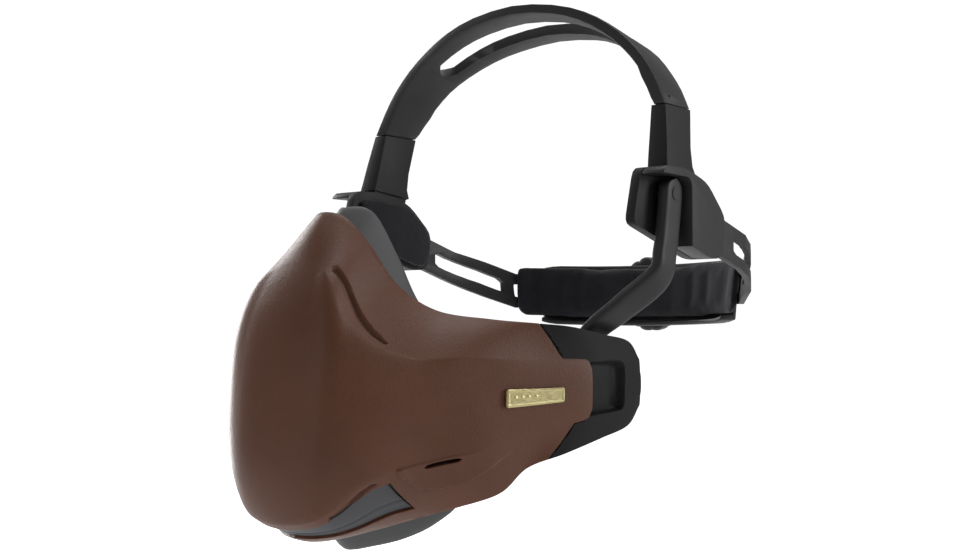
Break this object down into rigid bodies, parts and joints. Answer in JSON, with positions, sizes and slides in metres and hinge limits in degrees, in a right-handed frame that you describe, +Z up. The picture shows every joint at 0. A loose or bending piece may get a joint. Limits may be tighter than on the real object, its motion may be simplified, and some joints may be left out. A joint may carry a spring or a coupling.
{
  "type": "half mask on a rigid head harness",
  "caption": "Wearable half mask with a grained shell over filters and a soft face seal, carried by two link arms on a rigid headband with an adjustable crown and nape band.",
  "frame": {"origin": "midway between the two temple pivots", "axes": "+Z up; the wearer faces -Y; +X is the wearer's left"},
  "size_m": [0.1726, 0.262, 0.2181],
  "materials": {
    "leather_shell": "fine-grained brown leather look, satin",
    "charcoal_plastic": "fine satin texture",
    "dark_plastic": "satin",
    "grey_rubber": "soft matt",
    "pad_foam": "padded black knit",
    "filter_media": "white felt",
    "badge_metal": "brushed pale gold",
    "steel": "satin"
  },
  "bodies": {
    "harness": {"temple_frame_left": "dark_plastic", "temple_frame_right": "dark_plastic", "hub_cover_left": "charcoal_plastic", "hub_cover_right": "charcoal_plastic", "temple_pad_left": "pad_foam", "temple_pad_right": "pad_foam", "pivot_pin_left": "steel", "pivot_pin_right": "steel"},
    "link_arms": {"link_arm_left": "charcoal_plastic", "link_arm_right": "charcoal_plastic", "link_pin_left": "steel", "link_pin_right": "steel"},
    "mask": {"chassis": "charcoal_plastic", "side_arm_left": "charcoal_plastic", "side_arm_right": "charcoal_plastic", "arm_screw_left_upper": "steel", "arm_screw_left_lower": "steel", "arm_screw_right_upper": "steel", "arm_screw_right_lower": "steel", "face_seal": "grey_rubber", "filter_pad_left": "filter_media", "filter_pad_right": "filter_media", "filter_holder_left": "charcoal_plastic", "filter_holder_right": "charcoal_plastic", "inhale_valve_left": "grey_rubber", "inhale_valve_right": "grey_rubber", "exhale_seat": "charcoal_plastic", "exhale_valve": "grey_rubber"},
    "cover": {"front_cover": "leather_shell", "chin_vent": "grey_rubber", "badge": "badge_metal"},
    "crown": {"crown_band": "charcoal_plastic"},
    "rear": {"rear_band_left": "charcoal_plastic", "rear_band_right": "charcoal_plastic", "rear_cradle": "charcoal_plastic", "nape_pad": "pad_foam", "knob_screw": "steel"},
    "knob": {"knob": "charcoal_plastic", "knob_pinion": "dark_plastic"}
  },
  "joints": [
    {"name": "mask_swing", "type": "hinge", "parent": "harness", "child": "link_arms", "pos_m": [0, 0, 0], "axis": [-1, 0, 0], "range_deg": [0, 60]},
    {"name": "mask_tilt", "type": "hinge", "parent": "link_arms", "child": "mask", "pos_m": [0, -0.02, -0.068], "axis": [-1, 0, 0], "range_deg": [-6, 7]},
    {"name": "cover_pull_off", "type": "slide", "parent": "mask", "child": "cover", "axis": [0, -1, 0], "range_m": [0, 0.11]},
    {"name": "crown_height", "type": "slide", "parent": "harness", "child": "crown", "axis": [0, 0.225, 0.9744], "range_m": [0, 0.012]},
    {"name": "nape_adjust", "type": "slide", "parent": "harness", "child": "rear", "axis": [0, -0.9636, 0.2672], "range_m": [0, 0.012]},
    {"name": "knob_turn", "type": "hinge", "parent": "rear", "child": "knob", "pos_m": [0, 0.12, -0.034], "axis": [0, 1, 0], "range_deg": [0, 120]}
  ],
  "couplings": [
    {"joint": "knob_turn", "follows": "nape_adjust", "rad_per_m": 166.67}
  ]
}
